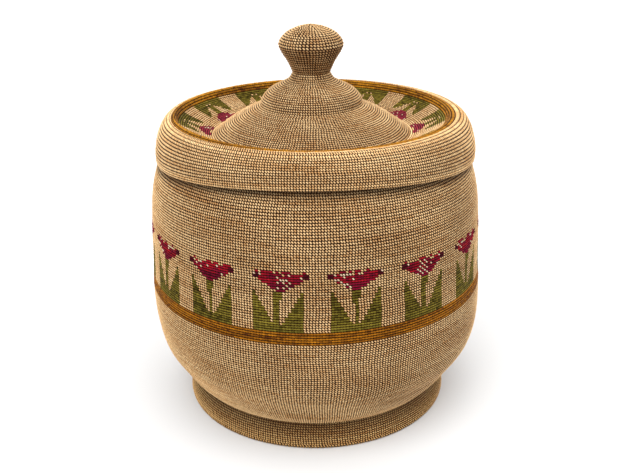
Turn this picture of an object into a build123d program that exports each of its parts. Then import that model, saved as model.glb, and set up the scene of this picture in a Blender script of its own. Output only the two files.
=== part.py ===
from build123d import *
import os
from math import cos, pi, radians, sin

# A lidded sewing basket, finely twined from split grass and false-embroidered with tulips.
# Millimetres, +Z up, front towards -Y. The origin is the centre of the foot, on the surface it stands on.
# The basket and its lid are each one thin woven fabric. Every zone that a weaver works in turn (base, foot,
# belly, shoulder, neck, and so on) is a shell of revolution of its own, and the zones meet edge to edge.
# The dyed grass of the embroidery lies on the shells as thin raised patches.

# Driving dimensions
WALL = 1.6                      # thickness of the twined fabric
HEM = 1.8                       # height of the thicker edge courses at the foot and the lid's edge
BRAID = 1.4                     # height of the braid that ends the neck
RAISED = 0.3                    # how far the embroidery stands out of the fabric
LIFT = 0.02                     # the embroidery starts this far off the fabric, so that no face is shared
COURSE = 1.075                  # height of one course of twining on the basket
LID_COURSE = 0.97               # and on the lid
UNDERSIDE_TOP = 34.0            # height where the belly's underside ends
BAND_BOTTOM = 59.0              # height of the lowest ochre course
BAND_COURSES = 5
TULIP_WALL_TOP = 92.0           # height where the wall above the tulips begins
UPPER_WALL_TOP = 108.0          # height where the wall starts to turn in
SHOULDER_TOP = 121.0            # height where the shoulder turns up into the neck
NECK_TOP = 125.4
LID_EDGE = 118.8                # height of the lid's lower edge
LID_RIM_START = 127.0           # height where the lid's skirt starts to roll over
LID_BAND_COURSES = 4
LID_BAND_COURSE = 1.12          # the lid's ochre courses are a little thicker

BODY_STITCHES = 390             # stitches round the belly
BODY_TULIPS = 15
BODY_FIRST_TULIP = -11.6        # degrees from the front, towards +X
LID_STITCHES = 312              # stitches round the lid's recess
LID_TULIPS = 12
BODY_BAND_TOP = BAND_BOTTOM + BAND_COURSES * COURSE

# Outer profiles as (radius, height), from the foot up the outside and inwards to the knob's top
FOOT = [(61.1, HEM), (61.1, 4.0), (60.4, 7.2), (59.3, 10.2), (58.8, 11.8)]
BELLY = [(58.8, 11.8), (62.9, 16.0), (67.4, 23.0), (71.8, 30.6), (74.5, 42.0), (75.5, 56.0),
         (74.8, 68.0), (73.9, 88.0), (72.5, 103.0), (69.9, 113.0), (68.1, 117.2), (66.8, SHOULDER_TOP)]
NECK = [(66.8, SHOULDER_TOP), (66.8, 123.2), (66.8, NECK_TOP)]
BASE = [(0.0, 11.0), (30.0, 10.6), (58.2, 9.7)]
LID_WALL = [(70.2, LID_EDGE + HEM), (70.4, 122.4), (70.0, 125.4), (68.7, 129.6), (66.2, 133.2),
            (63.6, 134.8), (62.2, 134.5)]
LID_RECESS = [(62.2, 134.5), (61.0, 134.7), (59.8, 134.0), (58.4, 132.4), (52.0, 129.0), (46.0, 126.3),
              (43.6, 125.9)]
LOWER_TIER = [(43.6, 125.9), (41.0, 127.8), (35.8, 131.6), (29.5, 135.2), (22.5, 138.6)]
UPPER_TIER = [(22.5, 138.6), (21.4, 141.6), (18.4, 144.8), (14.0, 147.2), (10.0, 149.4), (7.9, 152.4)]
KNOB_STEM = [(7.9, 152.4), (10.2, 157.8), (12.6, 162.0), (13.5, 164.3)]
KNOB_CAP = [(13.5, 164.3), (13.2, 166.4), (10.8, 169.3), (6.5, 171.6), (2.5, 172.6), (0.0, 172.9)]

# Tulip outlines as (stitches from the middle, courses from the band). Two leaves rise from a solid strip
# with a thin stem between them, and the flower spreads into two wings on the stem.
LEAVES = [(-8.5, 0), (-8.5, 16.5), (-7.5, 16.5), (-1.5, 3), (-0.5, 3), (-0.5, 13), (-1.5, 13), (-1.5, 16),
          (1.5, 16), (1.5, 13), (0.5, 13), (0.5, 3), (1.5, 3), (7.5, 16.5), (8.5, 16.5), (8.5, 0)]
FLOWER = [(-2, 16), (-2.5, 18), (-9.5, 21), (-9.5, 24), (-3.5, 22.5), (3.5, 22.5), (9.5, 24), (9.5, 21),
          (2.5, 18), (2, 16)]
LID_LEAVES = [(-8.5, 0), (-8.5, 9.5), (-7.5, 9.5), (-1.5, 2), (-0.5, 2), (-1.5, 3.5), (-1.5, 9.5), (1.5, 9.5),
              (1.5, 3.5), (0.5, 2), (1.5, 2), (7.5, 9.5), (8.5, 9.5), (8.5, 0)]
LID_FLOWER = [(-1.5, 9.8), (-7.5, 12.5), (-7.5, 15.5), (0, 14.5), (7.5, 15.5), (7.5, 12.5), (1.5, 9.8)]


def profile(points):
    """The smooth curve through (radius, height) points."""
    return Edge.make_spline([Vector(radius, 0, height) for radius, height in points])


def inward(edge, t):
    """The unit vector from the outside of a profile to its inside."""
    tangent = edge % t
    return Vector(-tangent.Z, 0, tangent.X)


def offset_spline(edge, depth, start=None, end=None, spans=12):
    """The profile moved to its inside by depth, with its end points given where it meets a corner."""
    points = [edge @ (i / spans) + inward(edge, i / spans) * depth for i in range(spans + 1)]
    points[0] = start or points[0]
    points[-1] = end or points[-1]
    return Edge.make_spline(points)


def turned(outer, inner):
    """The solid of revolution between two profiles."""
    ends = [Edge.make_line(outer @ 1, inner @ 1), Edge.make_line(inner @ 0, outer @ 0)]
    return revolve(Face(Wire([outer, inner, *ends])), Axis.Z)


def corner(edge, t):
    """The inner corner at a profile's open end, on the axis where the profile ends there."""
    point = edge @ t
    if point.X < 0.01:
        return point + Vector(0, 0, WALL if inward(edge, t).Z > 0 else -WALL)
    return point + inward(edge, t) * WALL


def mitre(before, after):
    """The inner corner where one profile meets the next."""
    a, b = inward(before, 1), inward(after, 0)
    return (before @ 1) + (a + b) * (WALL / (1 + a.dot(b)))


def woven(*runs):
    """Shells of the fabric's thickness inside profiles that follow each other."""
    edges = [profile(run) for run in runs]
    corners = [corner(edges[0], 0)]
    corners += [mitre(a, b) for a, b in zip(edges, edges[1:])]
    corners += [corner(edges[-1], 1)]
    return [turned(edge, offset_spline(edge, WALL, *corners[i:i + 2])) for i, edge in enumerate(edges)]


def slab(low, high):
    """All the space between two heights."""
    return Pos(0, 0, (low + high) / 2) * Box(200, 200, high - low)


def ring(section):
    """The ring with a section of (radius, height) corners."""
    outline = Polyline(*[(radius, 0, height) for radius, height in section], close=True)
    return revolve(Face(Wire(outline.edges())), Axis.Z)


def edge_ring(outer_radius, low, height, width):
    """A thicker edge course: a ring with a section whose corners are eased."""
    inner, outer, top, ease = outer_radius - width, outer_radius, low + height, 0.3 * height
    return ring([(inner + ease, low), (outer - ease, low), (outer, low + ease), (outer, top - ease),
                 (outer - ease, top), (inner + ease, top), (inner, top - ease), (inner, low + ease)])


def length_at_height(edge, height):
    """How far along a rising profile its height is reached."""
    low, high = 0.0, edge.length
    for _ in range(40):
        middle = (low + high) / 2
        if edge.position_at(middle, PositionMode.LENGTH).Z < height:
            low = middle
        else:
            high = middle
    return low


def raised_point(edge, length, rise):
    """The (radius, height) of a point along a profile, raised off the fabric."""
    t = length / edge.length
    point = edge @ t - inward(edge, t) * rise
    return point.X, point.Z


def courses(edge, first, count, height):
    """Raised rings of dyed grass, one for each course, lying on the fabric."""
    section = [(0.05, LIFT), (0.3, RAISED), (0.7, RAISED), (0.95, LIFT)]
    section += [(part, LIFT) for part in (0.8, 0.65, 0.5, 0.35, 0.2)]
    starts = [first + i * height for i in range(count)]
    return [ring([raised_point(edge, start + part * height, rise) for part, rise in section]) for start in starts]


def skin(edge):
    """The thin layer on the fabric that its embroidery fills."""
    return turned(offset_spline(edge, -RAISED), offset_spline(edge, -LIFT))


def body_patch(outline, layer):
    """An outline in stitches and courses, cut from the layer at the front of the basket."""
    stitch = 2 * pi * BELLY[5][0] / BODY_STITCHES
    flat = Polygon(*[(s * stitch, BODY_BAND_TOP + c * COURSE) for s, c in outline], align=None)
    prism = extrude(Plane.XZ * flat, 90, dir=(0, -1, 0))
    return (layer & prism).solids()[0]


def lid_patch(outline, layer, edge, start):
    """An outline in stitches and courses, cut from the layer in the lid's recess."""
    points = []
    for s, c in outline:
        radius = edge.position_at(start + c * LID_COURSE, PositionMode.LENGTH).X
        angle = radians(s * 360 / LID_STITCHES)
        points.append((radius * sin(angle), -radius * cos(angle)))
    prism = extrude(Polygon(*points, align=None), 200, dir=(0, 0, 1))
    return (layer & prism).solids()[0]


def around(solid, count, first=0.0):
    """Copies of a solid, evenly spaced round the axis."""
    return [solid.rotate(Axis.Z, first + i * 360 / count) for i in range(count)]


def basket_parts():
    """Everything that stays on the table when the lid is lifted."""
    foot, belly, neck = woven(FOOT, BELLY, NECK)
    belly_edge = profile(BELLY)
    band_start = length_at_height(belly_edge, BAND_BOTTOM)
    layer = skin(belly_edge) & slab(BODY_BAND_TOP, BODY_BAND_TOP + 30)
    parts = {
        "base": woven(BASE)[0] - foot,
        "foot_hem": edge_ring(FOOT[0][0] + 0.1, 0, HEM, WALL + 0.4),
        "foot": foot,
        "underside": belly & slab(0, UNDERSIDE_TOP),
        "lower_wall": belly & slab(UNDERSIDE_TOP, BODY_BAND_TOP),
        "tulip_wall": belly & slab(BODY_BAND_TOP, TULIP_WALL_TOP),
        "upper_wall": belly & slab(TULIP_WALL_TOP, UPPER_WALL_TOP),
        "shoulder": belly & slab(UPPER_WALL_TOP, 200),
        "neck": neck,
        "neck_braid": edge_ring(NECK[-1][0] + 0.3, NECK_TOP, BRAID, WALL + 0.6),
        "ochre_band": Compound(children=courses(belly_edge, band_start, BAND_COURSES, COURSE)),
    }
    leaves = around(body_patch(LEAVES, layer), BODY_TULIPS, BODY_FIRST_TULIP)
    flowers = around(body_patch(FLOWER, layer), BODY_TULIPS, BODY_FIRST_TULIP)
    for i in range(BODY_TULIPS):
        parts[f"tulip_leaves_{i + 1:02d}"] = leaves[i]
        parts[f"tulip_flower_{i + 1:02d}"] = flowers[i]
    return parts


def lid_parts():
    """Everything that lifts off: the cap, its recess, the two-tiered dome and the knob."""
    wall, recess, lower, upper, stem, cap = woven(
        LID_WALL, LID_RECESS, LOWER_TIER, UPPER_TIER, KNOB_STEM, KNOB_CAP)
    recess_edge = profile(LID_RECESS)
    layer = skin(recess_edge)
    band = courses(recess_edge, 0, LID_BAND_COURSES, LID_BAND_COURSE)
    start = LID_BAND_COURSES * LID_BAND_COURSE + 0.05
    leaves = around(lid_patch(LID_LEAVES, layer, recess_edge, start), LID_TULIPS)
    flowers = around(lid_patch(LID_FLOWER, layer, recess_edge, start), LID_TULIPS)
    return {
        "lid_hem": edge_ring(LID_WALL[0][0] + 0.2, LID_EDGE, HEM, WALL + 0.3),
        "lid_skirt": wall & slab(0, LID_RIM_START),
        "lid_rim": wall & slab(LID_RIM_START, 200),
        "lid_recess": recess,
        "lid_ochre_band": Compound(children=band),
        "lid_leaves": Compound(children=leaves),
        "lid_flowers": Compound(children=flowers),
        "lid_lower_tier": lower,
        "lid_upper_tier": upper,
        "knob_stem": stem,
        "knob_cap": cap,
    }


os.makedirs("parts", exist_ok=True)
for name, shape in {**basket_parts(), **lid_parts()}.items():
    export_step(shape, f"parts/{name}.step")
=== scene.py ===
import math

import bpy
import numpy as np
from mathutils import Matrix, Vector


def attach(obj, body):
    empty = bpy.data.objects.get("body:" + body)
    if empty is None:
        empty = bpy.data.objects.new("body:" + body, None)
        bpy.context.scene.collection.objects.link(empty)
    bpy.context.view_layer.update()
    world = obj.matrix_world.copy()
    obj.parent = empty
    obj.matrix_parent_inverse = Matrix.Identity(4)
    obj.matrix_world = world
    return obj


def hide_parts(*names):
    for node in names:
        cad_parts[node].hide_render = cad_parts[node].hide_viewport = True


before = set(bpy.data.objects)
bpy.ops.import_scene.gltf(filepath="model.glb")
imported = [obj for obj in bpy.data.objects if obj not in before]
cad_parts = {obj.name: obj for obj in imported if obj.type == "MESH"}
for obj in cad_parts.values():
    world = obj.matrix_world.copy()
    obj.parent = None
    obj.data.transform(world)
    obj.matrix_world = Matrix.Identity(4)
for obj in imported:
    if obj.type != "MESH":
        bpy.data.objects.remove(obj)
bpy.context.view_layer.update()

MM = 0.001

# ---------------------------------------------------------------- shape, in millimetres, as in the CAD part
# Each outline is a list of (radius, height) points on the outside of the fabric.
FABRIC = 1.3                    # distance between the bases of the outer and the inner stitches
FOOT = [(61.1, 1.8), (61.1, 4.0), (60.4, 7.2), (59.3, 10.2), (58.8, 11.8)]
BELLY = [(58.8, 11.8), (62.9, 16.0), (67.4, 23.0), (71.8, 30.6), (74.5, 42.0), (75.5, 56.0),
         (74.8, 68.0), (73.9, 88.0), (72.5, 103.0), (69.9, 113.0), (68.1, 117.2), (66.8, 121.0)]
NECK = [(66.8, 121.0), (66.8, 123.2), (66.8, 125.4)]
BASE = [(0.8, 11.0), (30.0, 10.6), (57.6, 9.7)]
LID_WALL = [(70.2, 120.6), (70.4, 122.4), (70.0, 125.4), (68.7, 129.6), (66.2, 133.2), (63.6, 134.8),
            (62.2, 134.5)]
RECESS = [(62.2, 134.5), (61.0, 134.7), (59.8, 134.0), (58.4, 132.4), (52.0, 129.0), (46.0, 126.3),
          (43.6, 125.9)]
LOWER_TIER = [(43.6, 125.9), (41.0, 127.8), (35.8, 131.6), (29.5, 135.2), (22.5, 138.6)]
UPPER_TIER = [(22.5, 138.6), (21.4, 141.6), (18.4, 144.8), (14.0, 147.2), (10.0, 149.4), (7.9, 152.4)]
KNOB_STEM = [(7.9, 152.4), (10.2, 157.4), (12.9, 161.8), (13.9, 164.0)]
KNOB_CAP = [(13.9, 164.0), (13.4, 166.0), (10.8, 169.0), (6.2, 171.3), (2.5, 172.3), (0.6, 172.6)]
FOOT_HEM = [(59.6, 0.5), (60.5, 0.35), (61.2, 0.75), (61.3, 1.3), (61.1, 1.9)]
NECK_BRAID = [(66.9, 125.3), (67.1, 126.0), (66.6, 126.7), (65.8, 126.8), (65.2, 126.3), (65.1, 125.4)]
LID_HEM = [(68.9, 119.2), (69.5, 118.9), (70.2, 119.3), (70.4, 120.0), (70.2, 120.7)]
BAND_BOTTOM = 59.0
RIM_BOTTOM = 127.0              # where the lid's skirt turns into its rolled rim

# Handwork's irregularities: how far, in millimetres, parts stray from round
BELLY_BULGE = 1.5               # the belly's right side, low down
BELLY_WAVE = 0.18
LID_WARP = 2.9                  # how far the lid's edge rises at the front and back and dips at the sides
LID_FLARE = 0.2
BACK_ROLL = 0.35
LEFT_ROLL = 1.4                 # the ochre ring's roll at the left front
BACK_RIM = 0.8
WALL_SHIFT = 0.6                # the lid's wall to the right
KNOB_SHIFT = -0.8               # and its dome and knob to the left

# ---------------------------------------------------------------- counts of stitches and courses
BODY_TULIPS = 15
LID_TULIPS = 12
REPEAT = 26                     # stitches from one tulip to the next
BODY_STITCHES = BODY_TULIPS * REPEAT
LID_STITCHES = LID_TULIPS * REPEAT
FOOT_STITCHES = 334
FOOT_HEM_STITCHES = 300
BRAID_STITCHES = 230
KNOB_STITCHES = 58
# A round area has more stitches in a course further out, as (up to this radius, this many) steps.
BASE_STEPS = [(3, 9), (6, 22), (10, 44), (16, 76), (24, 118), (34, 172), (46, 240), (70, 320)]
TIER_STEPS = [(3, 12), (6, 26), (9, 46), (13, 66), (17, 88), (20.5, 106), (25, 128), (30, 152), (36, 184),
              (50, 216)]
CAP_STEPS = [(2, 8), (4, 16), (7, 30), (10.5, 44), (14, KNOB_STITCHES)]
COURSE = {                      # height of a course
    "lower wall": 1.05, "band": 1.075, "tulips": 1.075, "upper wall": 1.13, "neck": 1.05, "braid": 1.2,
    "foot": 1.03, "foot hem": 1.0, "base": 1.1, "lid hem": 0.95, "skirt": 1.2, "rim edge": 1.5,
    "lid band": 1.12, "recess": 0.97, "lower tier": 1.05, "upper tier": 1.02, "stem": 1.15, "cap": 1.2,
    "inside": 1.1, "inner knob": 1.2,
}
BAND_COURSES = 5
LID_BAND_COURSES = 4
RIM_EDGE_COURSES = 3            # tall courses that end the lid's rim

REACH = 11                      # columns that a tulip takes on each side of its middle
LEAF_REACH = 8                  # columns that its leaves take
TULIP_COURSES = 24
FLOWER_COURSE = 16              # the flower's first course
FLOWER_HALVES = (1.4, 3.2, 4.6, 6.2, 7.4, 9.3, 9.3, 8.4)    # half of the flower's width in each course
TIP_REACH = 8                   # columns from its middle at which the flower's tips turn dark
LID_TULIP_COURSES = 17
LID_FLOWER_COURSE = 10
LID_FLOWER_HALVES = (2, 4, 5.5, 7, 7.4, 7.4)
FIRST_TULIP = -11.6             # degrees, azimuth of the first tulip on the basket
# The columns by which a tulip's leaves and its flower sit off their even spacing
SHIFTS = {0: (0, 1), 14: (1, 1), 13: (2, 2), 12: (3, 3), 11: (2, 2), 10: (1, 1)}

# ---------------------------------------------------------------- colours
NATURAL, GREEN, CRIMSON, CREAM, OCHRE, PLUM, WINE, PINK = range(8)
DYED = (GREEN, CRIMSON, OCHRE, PLUM, WINE, PINK)
LEAF_KINDS = (GREEN,)
FLOWER_KINDS = (CRIMSON, PLUM, WINE, PINK)


def linear(rgb):
    """sRGB 0-255 to linear."""
    c = np.asarray(rgb, float) / 255
    return np.where(c <= 0.04045, c / 12.92, ((c + 0.055) / 1.055) ** 2.4)


TONES = {                       # the light and the dark tone that a class of stitch varies between
    NATURAL: (linear((252, 210, 152)), linear((218, 168, 110))),
    CREAM: (linear((248, 220, 188)), linear((226, 186, 148))),
    GREEN: (linear((134, 118, 40)), linear((78, 68, 12))),
    CRIMSON: (linear((168, 20, 36)), linear((118, 8, 30))),
    OCHRE: (linear((178, 112, 14)), linear((112, 63, 2))),
    PLUM: (linear((140, 16, 46)), linear((92, 6, 32))),
    WINE: (linear((84, 8, 26)), linear((58, 4, 18))),
    PINK: (linear((164, 52, 66)), linear((124, 36, 50))),
}
GAP_SHADES = {                        # the painted shade between the stitches of each class
    NATURAL: linear((32, 13, 4)),
    CREAM: linear((44, 22, 10)),
    GREEN: linear((20, 15, 2)),
    CRIMSON: linear((38, 3, 9)),
    OCHRE: linear((34, 15, 1)),
    PLUM: linear((34, 3, 12)),
    WINE: linear((24, 2, 7)),
    PINK: linear((60, 14, 28)),
}
# Factors on the grass's own colour where it is worn, soiled or faded
FOOT_TONE = np.array((0.79, 0.73, 0.58))
FOOT_HEM_TONE = np.array((0.76, 0.69, 0.54))
STEM_TONE = np.array((0.66, 0.60, 0.54))
LID_BAND_TONE = np.array((1.05, 1.2, 1.4))
TIER_TONE = 0.91
CAP_TONE = 0.92
LID_SHADOW = 0.62                   # strength of the painted shadow on the shoulder under the lid's edge
LID_SHADOW_DROP = 1.6               # how far it lies below the lid's edge
LID_SHADOW_WIDTH = 1.7
FOOT_SHADE = 1.28               # painted shade on the foot: its brightness at the bottom
FOOT_SHADE_FALL = 0.075         # and how much darker it gets with each millimetre up
STRAND_SPREAD = 0.18            # how much the tone varies from strand to strand
STITCH_SPREAD = 0.22            # from stitch to stitch
RIPPLE_SPREAD = 0.16            # and slowly over the whole weave

# ---------------------------------------------------------------- stitches
# Stitch shapes as (across in stitches, along the profile in courses, height in millimetres). The first six
# points are the outline and the last two the ridge. Natural stitches slant down to the right and leave
# corners between them, dark with painted shade. Wrapped ones are fuller, so that a course of them reads as
# one ridge.
STITCH = np.array([(0.13, 0.38, -0.03), (-0.33, 0.42, -0.03), (-0.48, 0.18, -0.03), (-0.13, -0.38, -0.03),
                   (0.33, -0.42, -0.03), (0.48, -0.18, -0.03), (-0.17, 0.13, 0.30), (0.17, -0.13, 0.30)])
TALL = STITCH * (0.95, 1.12, 1)  # the last courses of the lid's rim, which close up to a smooth edge
WRAPPED = np.array([(0.44, 0.33, -0.02), (-0.30, 0.42, -0.02), (-0.56, 0.08, 0.10), (-0.44, -0.33, -0.02),
                    (0.30, -0.42, -0.02), (0.56, -0.08, 0.10), (-0.26, 0.05, 0.40), (0.26, -0.05, 0.40)])
STITCH_FACES = [(0, 1, 6), (1, 2, 6), (2, 3, 7, 6), (3, 4, 7), (4, 5, 7), (5, 0, 6, 7)]
INNER = np.array([(0.20, 0.44, -0.03), (-0.50, 0.44, -0.03), (-0.20, -0.44, -0.03), (0.50, -0.44, -0.03),
                  (0.0, 0.0, 0.25)])        # a plainer stitch for the inside
INNER_FACES = [(0, 1, 4), (1, 2, 4), (2, 3, 4), (3, 0, 4)]
# How much of its stitch's own tone each corner shows; the rest is painted gap shade
LIT = np.array([0, 0, 0.1, 0, 0, 0.1, 1, 1])
WRAPPED_LIT = np.array([0.1, 0.1, 0.75, 0.1, 0.1, 0.75, 1, 1])
INNER_LIT = np.array([0, 0, 0, 0, 1])
GAP_SHADE_SHARE = 0.85                # of the painted gap shade in a corner that shows none of its own
STRAND = 30                     # stitches that one strand of grass makes before the next is laid in
STRIPS = 4                      # strips that a weave is cut into in its flat layout
LAYOUT_SCALE = (0.80, 0.92)     # keeps neighbouring stitches apart there
WARP_DEPTH = 0.05               # how far the shell of painted shade under the stitches lies below the profile height of that shell's faces
WARP_STEP = 1.2                 # height of the dark ground's faces
WARPS_AROUND = 180              # and how many go round
MIN_RADIUS = 0.3                # of the hole in the middle of a round area
SLOPE_REACH = 0.2               # length on each side over which a profile's slope is taken
RIPPLE_WAVES = 7
RIPPLE_SIZE = 2.6               # of that many waves together, about the root of their number


def bump(x, centre, width):
    """A smooth hump, 1 at its centre."""
    return np.exp(-((x - centre) / width) ** 2)


def ramp(x, start, end):
    """Rises evenly from 0 at start to 1 at end, and stays level outside them."""
    return np.clip((x - start) / (end - start), 0, 1)


def between(x, start, end, first, last):
    """The straight mix of first and last as x goes from start to end."""
    return (end - x) / (end - start) * first + (x - start) / (end - start) * last


class Profile:
    """A smooth curve through (radius, height) points, read by its length."""

    def __init__(self, points, offset=0.0, backwards=False):
        dense = self.smooth(np.array(points, float))
        if offset:
            tangent = np.gradient(dense, axis=0)
            tangent /= np.linalg.norm(tangent, axis=1)[:, None]
            dense = dense + offset * np.stack([tangent[:, 1], -tangent[:, 0]], 1)
        dense[:, 0] = np.maximum(dense[:, 0], MIN_RADIUS)
        if backwards:
            dense = dense[::-1]
        self.points = dense
        steps = np.linalg.norm(np.diff(dense, axis=0), axis=1)
        self.s = np.concatenate([[0], np.cumsum(steps)])
        self.length = self.s[-1]

    @staticmethod
    def smooth(p, steps=24):
        """Catmull-Rom curve with centripetal knots."""
        p = np.vstack([2 * p[0] - p[1], p, 2 * p[-1] - p[-2]])
        t = np.concatenate([[0], np.cumsum(np.sqrt(np.linalg.norm(np.diff(p, axis=0), axis=1)))])
        out = []
        for i in range(1, len(p) - 2):
            x = np.linspace(t[i], t[i + 1], steps, endpoint=False)[:, None]
            lines = [between(x, t[j], t[j + 1], p[j], p[j + 1]) for j in (i - 1, i, i + 1)]
            bends = [between(x, t[j], t[j + 2], lines[k], lines[k + 1]) for k, j in enumerate((i - 1, i))]
            out.append(between(x, t[i], t[i + 1], bends[0], bends[1]))
        return np.vstack(out + [p[-2:-1]])

    def at(self, s, height=0.0):
        """Radius and height at length s, raised off the surface by height."""
        r = np.interp(s, self.s, self.points[:, 0])
        z = np.interp(s, self.s, self.points[:, 1])
        dr, dz = self.change(0, s), self.change(1, s)
        size = np.maximum(np.hypot(dr, dz), 1e-9)
        return r + height * dz / size, z - height * dr / size

    def change(self, axis, s):
        """How much the radius (axis 0) or the height (axis 1) grows around length s."""
        values = self.points[:, axis]
        return np.interp(s + SLOPE_REACH, self.s, values) - np.interp(s - SLOPE_REACH, self.s, values)

    def length_at(self, z):
        """Length along a rising profile at a height."""
        return np.interp(z, self.points[:, 1], self.s)


def even(start, end, course):
    """Course boundaries from start to end, as near to a course's height as fits."""
    return np.linspace(start, end, max(2, round((end - start) / course) + 1))


def ripple(theta, s, seed, size):
    """A smooth, slow random field round the basket."""
    rng = np.random.default_rng(seed)
    total = 0.0
    for _ in range(RIPPLE_WAVES):
        turns = rng.integers(1, 9)
        wave = rng.uniform(8, 40)
        total = total + np.sin(turns * theta + 2 * math.pi * s / wave + rng.uniform(0, 6.28))
    return size * total / RIPPLE_SIZE


def settle_basket(r, theta, z):
    """The basket's irregularity: a fuller right side low down, and a little waviness."""
    from_right = (theta - math.pi / 2 + math.pi) % (2 * math.pi) - math.pi
    r = r + BELLY_BULGE * bump(from_right, 0, 0.8) * bump(z, 35, 16)
    r = r + BELLY_WAVE * np.sin(3 * theta + 0.6 + z / 30) * ramp(z, 0, 20)
    return r, z


def settle_lid(r, theta, z):
    """The lid's irregularity: its edge dips at both sides, and its rim is rolled unevenly."""
    low = ramp(z, 133.5, 122.5) * ramp(r, 61, 64)
    on_rim = z > 131
    r = r + LID_FLARE * low * np.clip(-np.cos(2 * theta), 0, 1)
    z = z + LID_WARP * low * np.cos(2 * theta)
    z = z + BACK_ROLL * bump(r, 60.6, 1.3) * on_rim * (1 - np.cos(theta - 0.9)) * 0.5
    z = z + LEFT_ROLL * bump(theta, 5.3, 0.55) * bump(r, 59.6, 1.2) * on_rim
    z = z + BACK_RIM * np.clip(-np.cos(theta), 0, 1) * ramp(r, 57, 61) * ramp(z, 128, 132)
    return r, z


def place(r, theta, z, body):
    """Points in metres from radius, azimuth and height in millimetres."""
    if body == "lid":
        r, z = settle_lid(r, theta, z)
        lean = WALL_SHIFT + (KNOB_SHIFT - WALL_SHIFT) * ramp(r, 64, 61)
    else:
        r, z = settle_basket(r, theta, z)
        lean = 0.0
    return np.stack([r * np.sin(theta) + lean, -r * np.cos(theta), z], -1) * MM


# ---------------------------------------------------------------- weaving
def weave(profile, bounds, stitches, body, classes=None, shape=STITCH, first=0.0, seed=1, lift=1.0, tone=1.0,
          shade=None, soft=0.0):
    """The corners, colours and layout of every stitch between the course boundaries.

    classes is an array (courses, stitches) of stitch classes, or None for natural grass. first is the
    azimuth of the first column in degrees. lift scales the stitches' height and tone their colour, shade is
    a painted-shade factor on it by azimuth and height, and soft is how far the painted shade in the gaps
    gives way to the stitches' own tone.
    """
    courses = len(bounds) - 1
    rng = np.random.default_rng(seed)
    if classes is None:
        classes = np.full((courses, stitches), NATURAL)
    middle = (bounds[1:] + bounds[:-1]) / 2
    step = 2 * math.pi / stitches
    theta = np.broadcast_to(math.radians(first) + step * np.arange(stitches), (courses, stitches))
    s = np.broadcast_to(middle[:, None], (courses, stitches))
    form, lit = stitch_forms(classes, shape)
    across, along, height = wander(form, theta, s, lift, seed, rng)
    r, z = profile.at(s[..., None] + along * np.diff(bounds)[:, None, None], height)
    points = place(r, theta[..., None] + across * step, z, body)
    colours = stitch_colours(classes, lit + soft * (1 - lit), theta, s, rng) * tone
    if shade:
        heights = profile.at(middle)[1]
        colours = colours * shade(theta, heights[:, None])[..., None, None]
    layout = flat_layout(form, courses, stitches)
    corners = points.shape[2]
    return {"points": points.reshape(-1, corners, 3), "colours": colours.reshape(-1, corners, 3),
            "uv": layout.reshape(-1, corners, 2), "classes": classes.ravel(),
            "faces": INNER_FACES if shape is INNER else STITCH_FACES,
            "column": np.broadcast_to(np.arange(stitches), classes.shape).ravel()}


def whole_weave(profile, course, stitches, body, **look):
    """A weave that covers all of a profile."""
    return weave(profile, even(0, profile.length, COURSE[course]), stitches, body, **look)


def stitch_forms(classes, shape):
    """Each stitch's shape and how far its corners are lit: outside, dyed stitches are wrapped."""
    if shape is INNER:
        return INNER[None, None], INNER_LIT[None, None]
    wrapped = np.isin(classes, DYED)[..., None]
    return np.where(wrapped[..., None], WRAPPED, shape), np.where(wrapped, WRAPPED_LIT, LIT)


def wander(form, theta, s, lift, seed, rng):
    """The stitches' shapes with the slight drift of handwork.

    The drift along the profile fades out towards the first and last courses, which meet other weaves.
    """
    drift_across = ripple(theta, s, seed + 50, size=0.16) + rng.normal(scale=0.035, size=theta.shape)
    drift_along = ripple(theta, s, seed + 90, size=0.10) + rng.normal(scale=0.03, size=theta.shape)
    courses = np.arange(len(theta))
    from_edge = np.minimum(courses, courses[::-1])[:, None]
    drift_along = drift_along * ramp(from_edge, 0, 3)
    swell = 1 + rng.normal(scale=0.10, size=theta.shape)
    height = np.where(form[..., 2] > 0, form[..., 2] * swell[..., None] * lift, form[..., 2])
    return form[..., 0] + drift_across[..., None], form[..., 1] + drift_along[..., None], height


def stitch_colours(classes, lit, theta, s, rng):
    """A colour for every corner: each stitch has its own tone on its ridge, and painted shade darkens its
    outline.
    """
    courses, stitches = classes.shape
    light = np.zeros((courses, stitches, 3))
    dark = np.zeros((courses, stitches, 3))
    gap = np.zeros((courses, stitches, 3))
    for kind, (lightest, darkest) in TONES.items():
        chosen = classes == kind
        light[chosen], dark[chosen], gap[chosen] = lightest, darkest, GAP_SHADES[kind]
    strand = np.repeat(rng.normal(0, 1, (courses, stitches // STRAND + 2)), STRAND, axis=1)
    shift = rng.integers(0, STRAND, courses)
    strand = np.stack([np.roll(row, k)[:stitches] for row, k in zip(strand, shift)])
    single = rng.normal(0, 1, (courses, stitches))
    tone = 0.5 + STRAND_SPREAD * strand + STITCH_SPREAD * single + ripple(theta, s, 7, RIPPLE_SPREAD)
    tone = np.clip(tone, -0.25, 1.25)[..., None]
    ridge = dark + (light - dark) * tone
    # The outline corners mix the stitch's tone with the painted gap shade
    edge = ridge * (1 - GAP_SHADE_SHARE) + gap * GAP_SHADE_SHARE
    lit = np.broadcast_to(lit, (courses, stitches, lit.shape[-1]))[..., None]
    return ridge[:, :, None] * lit + edge[:, :, None] * (1 - lit)


def flat_layout(form, courses, stitches):
    """Where each stitch lies in the unit square: the rounds are cut in strips that are stacked."""
    across = math.ceil(stitches / STRIPS)
    i, j = np.arange(stitches), np.arange(courses)
    u = (i % across + 0.5)[None, :, None] + form[..., 0] * LAYOUT_SCALE[0]
    v = (j[:, None] + courses * (i // across)[None])[..., None] + 0.5 + form[..., 1] * LAYOUT_SCALE[1]
    u, v = np.broadcast_arrays(u, v)
    return np.stack([u / across, v / (courses * STRIPS)], -1)


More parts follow.
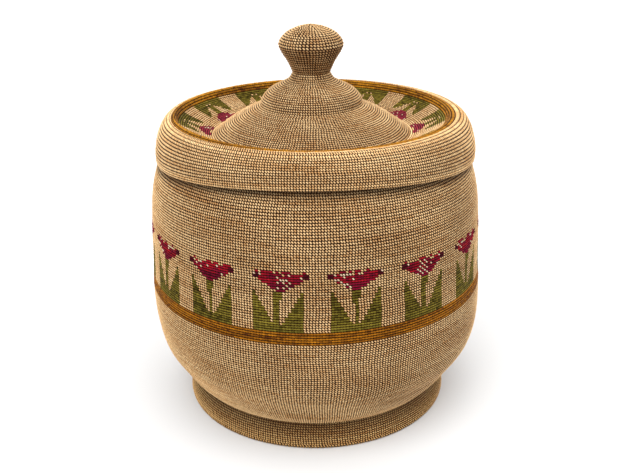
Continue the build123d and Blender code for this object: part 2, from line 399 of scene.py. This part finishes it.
def rings(points, steps, course, body, seed, shape=STITCH, offset=0.0, backwards=False, lift=1.0, tone=1.0):
    """The weaves of a flat or domed area: the number of stitches steps up with the radius."""
    profile = Profile(points, offset, backwards)
    bounds = even(0, profile.length, COURSE[course])
    radius = profile.at((bounds[1:] + bounds[:-1]) / 2)[0]
    limits = [limit for limit, stitches in steps]
    group = np.minimum(np.searchsorted(limits, radius), len(limits) - 1)
    made = []
    start = 0
    for k in range(1, len(group) + 1):
        if k == len(group) or group[k] != group[start]:
            made.append(weave(profile, bounds[start:k + 1], steps[group[start]][1], body, shape=shape,
                              seed=seed + k, lift=lift, tone=tone))
            start = k
    return made


# ---------------------------------------------------------------- materials
def grass(name, roughness, fibre, sheen, gloss):
    """Split grass: the stitch's own tone, fine fibres, stains and a satin gloss."""
    material = bpy.data.materials.new(name)
    material.use_nodes = True
    nodes, links = material.node_tree.nodes, material.node_tree.links
    shader = nodes["Principled BSDF"]
    tint = nodes.new("ShaderNodeAttribute")
    tint.attribute_name = "Tint"
    where = nodes.new("ShaderNodeTexCoord")

    def noise(scale, detail):
        node = nodes.new("ShaderNodeTexNoise")
        node.inputs["Scale"].default_value = scale
        node.inputs["Detail"].default_value = detail
        links.new(where.outputs["Object"], node.inputs["Vector"])
        return node.outputs["Fac"]

    def spread(value, low, high, start=0.3, end=0.7):
        node = nodes.new("ShaderNodeMapRange")
        node.inputs["From Min"].default_value = start
        node.inputs["From Max"].default_value = end
        node.inputs["To Min"].default_value = low
        node.inputs["To Max"].default_value = high
        links.new(value, node.inputs["Value"])
        return node.outputs["Result"]

    fibres, stains = noise(2600, 3), noise(45, 4)
    both = nodes.new("ShaderNodeMath")
    both.operation = "MULTIPLY"
    links.new(spread(fibres, 1 - fibre, 1 + fibre), both.inputs[0])
    links.new(spread(stains, 0.90, 1.07), both.inputs[1])
    scale = nodes.new("ShaderNodeVectorMath")
    scale.operation = "SCALE"
    links.new(tint.outputs["Color"], scale.inputs[0])
    links.new(both.outputs["Value"], scale.inputs["Scale"])
    links.new(scale.outputs["Vector"], shader.inputs["Base Color"])
    links.new(spread(fibres, roughness - 0.12, roughness + 0.12, 0, 1), shader.inputs["Roughness"])
    relief = nodes.new("ShaderNodeBump")
    relief.inputs["Strength"].default_value = 0.35
    relief.inputs["Distance"].default_value = 0.0001
    links.new(fibres, relief.inputs["Height"])
    links.new(relief.outputs["Normal"], shader.inputs["Normal"])
    shader.inputs["Specular IOR Level"].default_value = gloss
    shader.inputs["Sheen Weight"].default_value = sheen
    shader.inputs["Sheen Roughness"].default_value = 0.5
    return material


GRASSES = {
    "natural_grass": grass("natural_grass", roughness=0.50, fibre=0.16, sheen=0.04, gloss=0.10),
    "green_grass": grass("green_grass", roughness=0.52, fibre=0.18, sheen=0.02, gloss=0.05),
    "crimson_grass": grass("crimson_grass", roughness=0.50, fibre=0.18, sheen=0.01, gloss=0.03),
    "ochre_grass": grass("ochre_grass", roughness=0.48, fibre=0.18, sheen=0.02, gloss=0.06),
}
# The warps' material; their colour is the painted shade of the gaps
SHADED = grass("shaded_warps", roughness=0.8, fibre=0.2, sheen=0.0, gloss=0.02)


# ---------------------------------------------------------------- pieces
def make_mesh(name, points, loops, sizes, colours, uvs, body, material, replaced=()):
    """A smooth-shaded mesh object that rides on a body, with a Tint colour on its points."""
    mesh = bpy.data.meshes.new(name)
    mesh.vertices.add(len(points))
    mesh.vertices.foreach_set("co", points.astype(np.float32).ravel())
    mesh.loops.add(len(loops))
    mesh.loops.foreach_set("vertex_index", loops.astype(np.int32))
    mesh.polygons.add(len(sizes))
    starts = np.concatenate([[0], np.cumsum(sizes)[:-1]])
    mesh.polygons.foreach_set("loop_start", starts.astype(np.int32))
    mesh.polygons.foreach_set("loop_total", sizes.astype(np.int32))
    mesh.polygons.foreach_set("use_smooth", np.ones(len(sizes), bool))
    mesh.update(calc_edges=True)
    layer = mesh.uv_layers.new(name="OFBake")
    layer.data.foreach_set("uv", uvs[loops].astype(np.float32).ravel())
    tint = mesh.color_attributes.new("Tint", "FLOAT_COLOR", "POINT")
    rgba = np.ones((len(points), 4), np.float32)
    rgba[:, :3] = colours
    tint.data.foreach_set("color", rgba.ravel())
    mesh.validate()
    piece = bpy.data.objects.new(name, mesh)
    bpy.context.scene.collection.objects.link(piece)
    mesh.materials.append(material)
    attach(piece, body)
    if replaced:
        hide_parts(*replaced)


def pick(woven, chosen):
    """A weave's chosen stitches."""
    kept = {key: woven[key][chosen] for key in ("points", "colours", "uv")}
    return kept | {"faces": woven["faces"]}


def stitch_piece(name, body, slot, replaced, *woven):
    """One piece from one or more weaves, whose layouts are stacked."""
    loops, sizes, base = [], [], 0
    for part in woven:
        stitches, corners = part["points"].shape[:2]
        offsets = base + corners * np.arange(stitches)
        for face in part["faces"]:
            loops.append((offsets[:, None] + np.array(face)[None]).ravel())
            sizes.append(np.full(stitches, len(face)))
        base += stitches * corners
    share = 1 / len(woven)
    points = np.vstack([part["points"].reshape(-1, 3) for part in woven])
    colours = np.vstack([part["colours"].reshape(-1, 3) for part in woven])
    uvs = np.vstack([part["uv"].reshape(-1, 2) * (1, share) + (0, k * share) for k, part in enumerate(woven)])
    make_mesh(name, points, np.concatenate(loops), np.concatenate(sizes), colours, uvs, body, GRASSES[slot],
              replaced)


def dyed_piece(name, body, slot, replaced, woven, chosen):
    """One piece from some stitches of a weave, whose layout is stretched to the whole square."""
    part = pick(woven, chosen)
    low, high = part["uv"].min((0, 1)), part["uv"].max((0, 1))
    part["uv"] = (part["uv"] - low) / (high - low)
    stitch_piece(name, body, slot, (replaced,), part)


def warps(name, body, profiles):
    """The warps between the stitches, just below their bases, coloured with painted shade: one shell for each
    profile.
    """
    points, loops, uvs, base = [], [], [], 0
    theta = np.linspace(0, 2 * math.pi, WARPS_AROUND + 1)
    for k, profile in enumerate(profiles):
        rows = max(3, int(profile.length / WARP_STEP) + 1)
        r, z = profile.at(np.linspace(0, profile.length, rows), -WARP_DEPTH)
        r, z, around = np.broadcast_arrays(r[:, None], z[:, None], theta[None])
        points.append(place(r, around, z, body).reshape(-1, 3))
        i, j = np.meshgrid(np.arange(rows - 1), np.arange(WARPS_AROUND), indexing="ij")
        corner = base + i * (WARPS_AROUND + 1) + j
        above = corner + WARPS_AROUND + 1
        loops.append(np.stack([corner, corner + 1, above + 1, above], -1).ravel())
        u = around / (2 * math.pi)
        v = (k + 0.02 + 0.96 * np.linspace(0, 1, rows))[:, None] / len(profiles) + 0 * u
        uvs.append(np.stack([u, v], -1).reshape(-1, 2))
        base += rows * (WARPS_AROUND + 1)
    points, loops = np.vstack(points), np.concatenate(loops)
    # Painted shade: the gap tone of natural grass, not the warps' own straw colour
    colours = np.tile(GAP_SHADES[NATURAL], (len(points), 1))
    make_mesh(name, points, loops, np.full(len(loops) // 4, 4), colours, np.vstack(uvs), body, SHADED)


# ---------------------------------------------------------------- tulips
def leaf_stitch(rel, c, wide_stem):
    """The class of a stitch of a tulip's leaves and stem, which share one foot."""
    if c <= 2:
        return GREEN if abs(rel) <= LEAF_REACH else NATURAL
    leaf = 7 - (c - 2) // 2
    slim = (-1, 0) if wide_stem or c >= 11 else (0, 0)
    low, high = (-1, 1) if c >= 13 else slim
    inside = low <= rel <= high or LEAF_REACH - leaf < abs(rel) <= LEAF_REACH
    return GREEN if inside else NATURAL


def flecked(rel, f, half, flecks, turned, rng):
    """Whether a stitch is one of a flower's own pattern of cream flecks."""
    across = rel * turned
    if flecks == "middle":
        return 1 <= f <= 5 and -1 <= across <= 3 and (rel + f) % 2 == 0 and rng.random() < 0.75
    if flecks == "edge":
        return 1 <= f <= 5 and abs(across + half - 1) < 0.7 and rng.random() < 0.8
    if flecks == "wing":
        return 3 <= f <= 5 and across < -2 and (rel + 2 * f) % 4 == 0
    return False


def flower_stitch(rel, f, rng, flecks, turned):
    """The class of a stitch in course f of a flower, whose top edge is ragged and whose tips are dark."""
    half = FLOWER_HALVES[f]
    if abs(rel) > half:
        return NATURAL
    if f == 7:
        return CRIMSON if rng.random() < 0.38 else NATURAL
    if f == 6 and rng.random() < 0.2:
        return (NATURAL, CREAM)[rng.integers(2)]
    if f >= 5 and abs(rel) >= TIP_REACH:
        return WINE
    if flecked(rel, f, half, flecks, turned, rng) or rng.random() < 0.03 * (f - 2):
        return CREAM
    return PLUM if f <= 2 or rng.random() < 0.3 else CRIMSON


def lid_tulip(rel, c, rng):
    """The class of a stitch of a lid's tulip, where the courses run inwards from the ochre band."""
    if c <= 1:
        return GREEN if abs(rel) <= LEAF_REACH else NATURAL
    if c < LID_FLOWER_COURSE:
        leaf = 7 - (c - 2) * 3 // 4
        stem = 0 if c == 2 else 1
        return GREEN if abs(rel) <= stem or LEAF_REACH - leaf < abs(rel) <= LEAF_REACH else NATURAL
    f = c - LID_FLOWER_COURSE
    if f >= len(LID_FLOWER_HALVES) or abs(rel) > LID_FLOWER_HALVES[f] or (f == 5 and abs(rel) < 3):
        return NATURAL
    return CREAM if f in (2, 3, 4) and rng.random() < 0.10 else PINK


def body_classes(courses, band_first):
    """The classes of all stitches in the belly's courses. Each tulip has its own stem and flecks."""
    rng = np.random.default_rng(5)
    styles = [(rng.random() < 0.45, ("", "middle", "edge", "wing")[rng.integers(4)], rng.choice((-1, 1)))
              for _ in range(BODY_TULIPS)]
    styles[0], styles[1], styles[14] = (True, "middle", 1), (False, "edge", 1), (False, "wing", 1)
    classes = np.full((courses, BODY_STITCHES), NATURAL)
    classes[band_first:band_first + BAND_COURSES] = OCHRE
    for k, (wide_stem, flecks, turned) in enumerate(styles):
        leaf_shift, flower_shift = SHIFTS.get(k, (0, 0))
        for c in range(TULIP_COURSES):
            f = c - FLOWER_COURSE
            for rel in range(-REACH, REACH + 1):
                i = k * REPEAT + rel + (leaf_shift if f < 0 else flower_shift)
                kind = leaf_stitch(rel, c, wide_stem) if f < 0 else flower_stitch(rel, f, rng, flecks, turned)
                classes[band_first + BAND_COURSES + c, i % BODY_STITCHES] = kind
    return classes


def recess_classes(courses):
    """The classes of all stitches in the courses of the lid's sunk ring."""
    rng = np.random.default_rng(6)
    classes = np.full((courses, LID_STITCHES), NATURAL)
    classes[:LID_BAND_COURSES] = OCHRE
    for c in range(LID_TULIP_COURSES):
        for i in range(LID_STITCHES):
            rel = (i + REPEAT // 2) % REPEAT - REPEAT // 2
            classes[LID_BAND_COURSES + c, i] = lid_tulip(rel, c, rng)
    return classes


# ---------------------------------------------------------------- the basket
def painted_lid_shadow(theta, z):
    """A painted shadow on the shoulder just below the lid's edge, which follows its warp."""
    lid_edge = LID_HEM[1][1] + LID_WARP * np.cos(2 * theta)
    return 1 - LID_SHADOW * bump(z, lid_edge - LID_SHADOW_DROP, LID_SHADOW_WIDTH)


def painted_foot_shade(theta, z):
    """Painted shade: the foot is darker towards its top, under the belly."""
    return FOOT_SHADE - FOOT_SHADE_FALL * z


def weave_belly():
    """The wall: a plain lower part, the ochre band, the tulips and a plain upper part."""
    belly = Profile(BELLY)
    band_start = belly.length_at(BAND_BOTTOM)
    band_end = band_start + BAND_COURSES * COURSE["band"]
    tulips_end = band_end + TULIP_COURSES * COURSE["tulips"]
    lower = even(0, band_start, COURSE["lower wall"])
    band = band_start + COURSE["band"] * np.arange(1, BAND_COURSES + 1)
    tulips = band_end + COURSE["tulips"] * np.arange(1, TULIP_COURSES + 1)
    upper = even(tulips_end, belly.length, COURSE["upper wall"])
    bounds = np.concatenate([lower, band, tulips, upper[1:]])
    band_first = len(lower) - 1
    tulip_first = band_first + BAND_COURSES
    upper_first = tulip_first + TULIP_COURSES
    classes = body_classes(len(bounds) - 1, band_first)

    def section(first, last, seed, shade=None):
        return weave(belly, bounds[first:last + 1], BODY_STITCHES, "basket", classes[first:last],
                     first=FIRST_TULIP, seed=seed, shade=shade)

    stitch_piece("lower_weave", "basket", "natural_grass", ("underside", "lower_wall"),
                 section(0, band_first, 21))
    stitch_piece("ochre_band_weave", "basket", "ochre_grass", ("ochre_band",),
                 section(band_first, tulip_first, 22))
    woven = section(tulip_first, upper_first, 23)
    stitch_piece("tulip_ground_weave", "basket", "natural_grass", ("tulip_wall",),
                 pick(woven, np.isin(woven["classes"], (NATURAL, CREAM))))
    tulip = (woven["column"] + REPEAT // 2) // REPEAT % BODY_TULIPS
    for word, kinds, slot in (("leaves", LEAF_KINDS, "green_grass"),
                              ("flower", FLOWER_KINDS, "crimson_grass")):
        for k in range(BODY_TULIPS):
            dyed_piece(f"tulip_{k + 1:02d}_{word}_wraps", "basket", slot, f"tulip_{word}_{k + 1:02d}", woven,
                       np.isin(woven["classes"], kinds) & (tulip == k))
    # The shoulder carries a painted shadow under the lid's edge
    stitch_piece("shoulder_weave", "basket", "natural_grass", ("upper_wall", "shoulder"),
                 section(upper_first, len(bounds) - 1, 24, painted_lid_shadow))


def weave_ends():
    """The collar and its braid above the wall, and the foot and its hem below."""
    neck, foot = Profile(NECK), Profile(FOOT)
    hem, braid = Profile(FOOT_HEM), Profile(NECK_BRAID)
    stitch_piece("neck_weave", "basket", "natural_grass", ("neck",),
                 whole_weave(neck, "neck", BODY_STITCHES, "basket", first=FIRST_TULIP, seed=25))
    # The foot carries painted shade, darker towards the belly above it
    stitch_piece("foot_weave", "basket", "natural_grass", ("foot",),
                 whole_weave(foot, "foot", FOOT_STITCHES, "basket", seed=26, tone=FOOT_TONE,
                             shade=painted_foot_shade))
    stitch_piece("foot_hem_weave", "basket", "natural_grass", ("foot_hem",),
                 whole_weave(hem, "foot hem", FOOT_HEM_STITCHES, "basket", seed=27, lift=0.9,
                             tone=FOOT_HEM_TONE))
    stitch_piece("neck_braid_weave", "basket", "natural_grass", ("neck_braid",),
                 whole_weave(braid, "braid", BRAID_STITCHES, "basket", seed=28, lift=1.2))


def weave_basket_inside():
    """The base on both faces, and the inner faces of the wall and the foot."""
    neck, belly, foot = [Profile(points, -FABRIC, True) for points in (NECK, BELLY, FOOT)]
    stitch_piece("base_weave", "basket", "natural_grass", ("base",),
                 *rings(BASE, BASE_STEPS, "base", "basket", 31, INNER),
                 *rings(BASE, BASE_STEPS, "base", "basket", 41, INNER, -FABRIC, True))
    stitch_piece("inner_wall_weave", "basket", "natural_grass", (),
                 whole_weave(neck, "inside", BODY_STITCHES, "basket", shape=INNER, seed=51),
                 whole_weave(belly, "inside", BODY_STITCHES, "basket", shape=INNER, seed=52))
    stitch_piece("inner_foot_weave", "basket", "natural_grass", (),
                 whole_weave(foot, "inside", FOOT_STITCHES, "basket", shape=INNER, seed=53))


# ---------------------------------------------------------------- the lid
def weave_lid_wall():
    """The lid's hem, skirt and rolled rim."""
    hem, wall = Profile(LID_HEM), Profile(LID_WALL)
    crest = wall.length - RIM_EDGE_COURSES * COURSE["rim edge"]
    skirt_rows = round(float(wall.length_at(RIM_BOTTOM)) / COURSE["skirt"])
    edge = crest + COURSE["rim edge"] * np.arange(1, RIM_EDGE_COURSES + 1)
    bounds = np.concatenate([even(0, crest, COURSE["skirt"]), edge])
    rim_rows = len(bounds) - RIM_EDGE_COURSES - 1
    stitch_piece("lid_hem_weave", "lid", "natural_grass", ("lid_hem",),
                 whole_weave(hem, "lid hem", BODY_STITCHES, "lid", seed=61, soft=0.25))
    stitch_piece("lid_skirt_weave", "lid", "natural_grass", ("lid_skirt",),
                 weave(wall, bounds[:skirt_rows + 1], BODY_STITCHES, "lid", seed=62, soft=0.05))
    stitch_piece("lid_rim_weave", "lid", "natural_grass", ("lid_rim",),
                 weave(wall, bounds[skirt_rows:rim_rows + 1], BODY_STITCHES, "lid", seed=63, soft=0.16),
                 weave(wall, bounds[rim_rows:], BODY_STITCHES, "lid", shape=TALL, seed=67, soft=0.34))


def weave_recess():
    """The sunk ring inside the rim: the ochre band, then the lid's tulips."""
    recess = Profile(RECESS)
    band = COURSE["lid band"] * np.arange(LID_BAND_COURSES + 1)
    bounds = np.concatenate([band, even(band[-1], recess.length, COURSE["recess"])[1:]])
    classes = recess_classes(len(bounds) - 1)
    stitch_piece("lid_ochre_band_weave", "lid", "ochre_grass", ("lid_ochre_band",),
                 weave(recess, bounds[:LID_BAND_COURSES + 1], LID_STITCHES, "lid",
                       classes[:LID_BAND_COURSES], seed=64, soft=0.35, tone=LID_BAND_TONE))
    woven = weave(recess, bounds[LID_BAND_COURSES:], LID_STITCHES, "lid", classes[LID_BAND_COURSES:],
                  seed=65, soft=0.12)
    stitch_piece("lid_recess_weave", "lid", "natural_grass", ("lid_recess",),
                 pick(woven, np.isin(woven["classes"], (NATURAL, CREAM))))
    dyed_piece("lid_tulip_leaves_wraps", "lid", "green_grass", "lid_leaves", woven,
               np.isin(woven["classes"], LEAF_KINDS))
    dyed_piece("lid_tulip_flower_wraps", "lid", "crimson_grass", "lid_flowers", woven,
               np.isin(woven["classes"], FLOWER_KINDS))


def weave_dome():
    """The two tiers of the dome and the knob."""
    stem = Profile(KNOB_STEM)
    stitch_piece("lid_lower_tier_weave", "lid", "natural_grass", ("lid_lower_tier",),
                 *rings(LOWER_TIER, TIER_STEPS, "lower tier", "lid", 71, tone=TIER_TONE))
    stitch_piece("lid_upper_tier_weave", "lid", "natural_grass", ("lid_upper_tier",),
                 *rings(UPPER_TIER, TIER_STEPS, "upper tier", "lid", 72, tone=TIER_TONE))
    stitch_piece("knob_stem_weave", "lid", "natural_grass", ("knob_stem",),
                 whole_weave(stem, "stem", KNOB_STITCHES, "lid", seed=73, tone=STEM_TONE))
    stitch_piece("knob_cap_weave", "lid", "natural_grass", ("knob_cap",),
                 *rings(KNOB_CAP, CAP_STEPS, "cap", "lid", 74, lift=1.2, tone=CAP_TONE))


def weave_lid_inside():
    """The inner faces of the lid."""
    wall, recess = [Profile(points, -FABRIC, True) for points in (LID_WALL, RECESS)]
    stitch_piece("lid_inner_wall_weave", "lid", "natural_grass", (),
                 whole_weave(wall, "inside", BODY_STITCHES, "lid", shape=INNER, seed=470),
                 whole_weave(recess, "inside", LID_STITCHES, "lid", shape=INNER, seed=392))
    stitch_piece("lid_inner_dome_weave", "lid", "natural_grass", (),
                 *rings(LOWER_TIER, TIER_STEPS, "inside", "lid", 91, INNER, -FABRIC, True),
                 *rings(UPPER_TIER, TIER_STEPS, "inside", "lid", 92, INNER, -FABRIC, True),
                 *rings(KNOB_STEM, TIER_STEPS, "inner knob", "lid", 93, INNER, -FABRIC, True),
                 *rings(KNOB_CAP, TIER_STEPS, "inner knob", "lid", 94, INNER, -FABRIC, True))


def faces_of(outer, inner):
    """Profiles of the outer faces of some outlines and the inner faces of others."""
    return [Profile(points) for points in outer] + [Profile(points, -FABRIC, True) for points in inner]


# ---------------------------------------------------------------- floor, light and camera
SUNS = {                        # direction it shines from, spread in degrees, strength
    "key": ((-0.6, -0.9, 1.2), 50, 2.15),
    "fill": ((0.9, -0.6, 1.1), 60, 1.25),
    "top": ((0, 0.2, 1.0), 70, 1.35),
}
FLOOR_HALF = 8                  # metres
FLOOR_GREY = 0.61
LENS = 51.0
CAMERA_AT = (0.00013, -0.3869, 0.2326)
PITCH = math.radians(22.166)    # of the camera, downwards
ROLL = -0.0122                  # radians


def floor():
    """A plain pale floor."""
    mesh = bpy.data.meshes.new("floor")
    corners = [(x * FLOOR_HALF, y * FLOOR_HALF, 0) for x, y in ((-1, -1), (1, -1), (1, 1), (-1, 1))]
    mesh.from_pydata(corners, [], [(0, 1, 2, 3)])
    plane = bpy.data.objects.new("floor", mesh)
    bpy.context.scene.collection.objects.link(plane)
    material = bpy.data.materials.new("floor")
    material.use_nodes = True
    shader = material.node_tree.nodes["Principled BSDF"]
    shader.inputs["Base Color"].default_value = (FLOOR_GREY, FLOOR_GREY, FLOOR_GREY, 1)
    shader.inputs["Roughness"].default_value = 0.9
    shader.inputs["Specular IOR Level"].default_value = 0.1
    mesh.materials.append(material)


def sun(name, source, spread, strength):
    """A soft sun that shines from a point towards the origin."""
    light = bpy.data.lights.new(name, "SUN")
    light.energy = strength
    light.angle = math.radians(spread)
    lamp = bpy.data.objects.new(name, light)
    lamp.location = source
    lamp.rotation_mode = "QUATERNION"
    lamp.rotation_quaternion = (-Vector(source)).to_track_quat("-Z", "Y")
    bpy.context.scene.collection.objects.link(lamp)


def sky():
    """Even white light from all round."""
    world = bpy.data.worlds.new("studio")
    world.use_nodes = True
    background = world.node_tree.nodes["Background"]
    background.inputs["Color"].default_value = (1, 1, 1, 1)
    background.inputs["Strength"].default_value = 1.0
    bpy.context.scene.world = world


def add_camera():
    """A camera in front that looks slightly down and is rolled a little."""
    camera = bpy.data.objects.new("camera", bpy.data.cameras.new("camera"))
    bpy.context.scene.collection.objects.link(camera)
    camera.data.lens = LENS
    camera.data.sensor_width = 36
    camera.data.clip_start = 0.01
    forward = Vector((0, math.cos(PITCH), -math.sin(PITCH)))
    level_up = Vector((0, math.sin(PITCH), math.cos(PITCH)))
    level_right = Vector((1, 0, 0))
    right = math.cos(ROLL) * level_right + math.sin(ROLL) * level_up
    up = -math.sin(ROLL) * level_right + math.cos(ROLL) * level_up
    turn = Matrix((right, up, -forward)).transposed()
    camera.matrix_world = Matrix.Translation(CAMERA_AT) @ turn.to_4x4()
    bpy.context.scene.camera = camera


weave_belly()
weave_ends()
weave_basket_inside()
weave_lid_wall()
weave_recess()
weave_dome()
weave_lid_inside()
warps("basket_warps", "basket", faces_of((FOOT_HEM, FOOT, BELLY, NECK, NECK_BRAID, BASE),
                                         (NECK, BELLY, FOOT, BASE)))
warps("lid_warps", "lid", faces_of((LID_HEM, LID_WALL, RECESS, LOWER_TIER, UPPER_TIER, KNOB_STEM, KNOB_CAP),
                                   (LID_WALL, RECESS, LOWER_TIER, UPPER_TIER, KNOB_STEM, KNOB_CAP)))
floor()
sky()
for name, (source, spread, strength) in SUNS.items():
    sun(name, source, spread, strength)
add_camera()
bpy.context.scene.view_settings.view_transform = "Standard"
